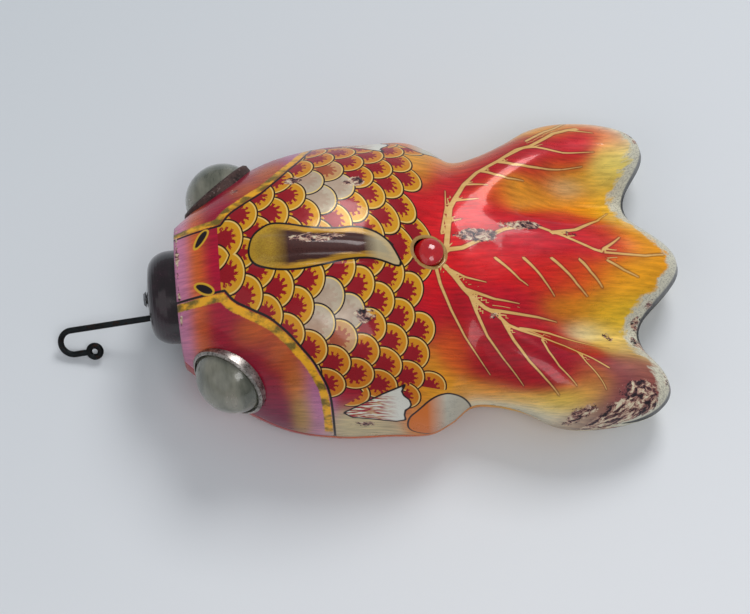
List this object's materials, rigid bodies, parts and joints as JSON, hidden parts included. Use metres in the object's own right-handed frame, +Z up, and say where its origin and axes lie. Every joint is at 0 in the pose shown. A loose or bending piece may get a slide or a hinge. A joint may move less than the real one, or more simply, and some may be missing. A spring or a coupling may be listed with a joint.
{
  "type": "tinplate goldfish lantern",
  "caption": "Stamped tin goldfish party lantern with lit domed eyes, a push button on its back, a mouth cap with a wire hook and a battery door.",
  "frame": {"origin": "on the resting plane, under the middle of the whole object's box, hook included", "axes": "nose along -X, tail along +X, +Z up from the resting plane, the fish's right side along +Y"},
  "size_m": [0.2234, 0.1162, 0.0627],
  "materials": {
    "back_print": "lithographed tinplate, red and gold, worn gloss varnish",
    "belly_print": "lithographed tinplate, orange and yellow, worn gloss varnish",
    "bare_tin": "bare tinplate, dulled",
    "nose_plate": "black japanned tin",
    "mouth_cap": "moulded dark maroon plastic, polished",
    "hook_wire": "black enamelled wire",
    "eye_lens": "milky domed glass",
    "eye_bezel": "worn plated ring",
    "push_button": "bright red moulded plastic",
    "bare_steel": "plain steel, dulled",
    "brass": "tarnished spring brass",
    "fibre": "vulcanised fibre board",
    "battery_cell": "plain printed cell jacket",
    "bulb_glass": "clear bulb glass",
    "lead": "red insulation",
    "door_paint": "orange painted tin, worn"
  },
  "bodies": {
    "lantern": {"back_shell": "back_print", "belly_shell": "belly_print", "seam_tabs": "bare_tin", "nose_plate": "nose_plate", "mouth_cap": "mouth_cap", "cap_rivet": "bare_steel", "hook_pin": "bare_steel", "eye_seat_left": "bare_tin", "eye_seat_right": "bare_tin", "eye_lens_left": "eye_lens", "eye_lens_right": "eye_lens", "eye_bezel_left": "eye_bezel", "eye_bezel_right": "eye_bezel", "button_spring": "bare_steel", "switch_plate": "bare_tin", "switch_leaf": "brass", "switch_contact": "brass", "switch_insulator": "fibre", "battery_cradle": "bare_tin", "battery_cell": "battery_cell", "front_insulator": "fibre", "front_contact": "brass", "rear_insulator": "fibre", "rear_contact": "brass", "bulb_bracket": "bare_tin", "bulb_socket": "brass", "bulb_base": "brass", "bulb_glass": "bulb_glass", "bulb_lead": "lead", "door_frame": "bare_tin", "door_hinge_pin": "bare_steel", "rivets": "bare_steel"},
    "hook": {"hook_wire": "hook_wire"},
    "button": {"push_button": "push_button"},
    "door": {"battery_door": "door_paint"}
  },
  "joints": [
    {"name": "hook_swing", "type": "hinge", "parent": "lantern", "child": "hook", "pos_m": [-0.07075, -0.0025, 0.0145], "axis": [0, 1, 0], "range_deg": [-20, 40]},
    {"name": "button_press", "type": "slide", "parent": "lantern", "child": "button", "axis": [0, 0, -1], "range_m": [0, 0.002], "stiffness_N_per_m": 400, "deforming": ["button_spring"]},
    {"name": "door_swing", "type": "hinge", "parent": "lantern", "child": "door", "pos_m": [-0.03015, 0, 0.0029], "axis": [0, 1, 0], "range_deg": [0, 95]}
  ]
}
